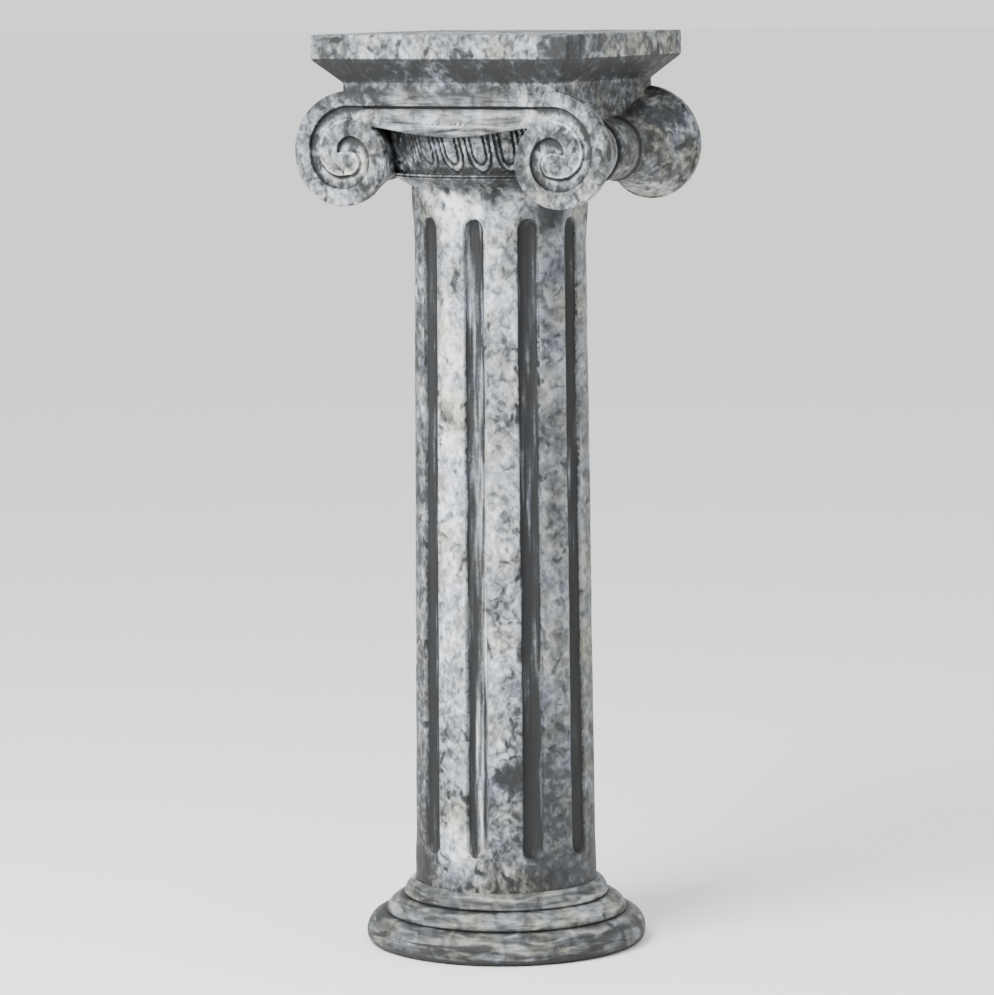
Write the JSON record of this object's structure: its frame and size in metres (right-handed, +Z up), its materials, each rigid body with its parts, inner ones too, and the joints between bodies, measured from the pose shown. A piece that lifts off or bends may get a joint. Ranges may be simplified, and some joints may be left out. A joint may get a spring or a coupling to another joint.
{
  "type": "ionic column",
  "caption": "Ionic column pedestal cast in one piece: round stepped base, fluted shaft, egg moulding, spiral scrolls front and back with side bolsters, and a flat square top.",
  "frame": {"origin": "centre of the flat underside, on the floor, on the column's axis", "axes": "+Z up the column's axis, -Y out of the front scroll face, +X to the right seen from the front"},
  "size_m": [0.3704, 0.309, 1],
  "materials": {
    "painted_cast_plaster": "cast plaster, hand painted in grey marble colours over a charcoal ground, satin"
  },
  "bodies": {
    "root": {"ionic_column": "painted_cast_plaster"}
  },
  "joints": []
}
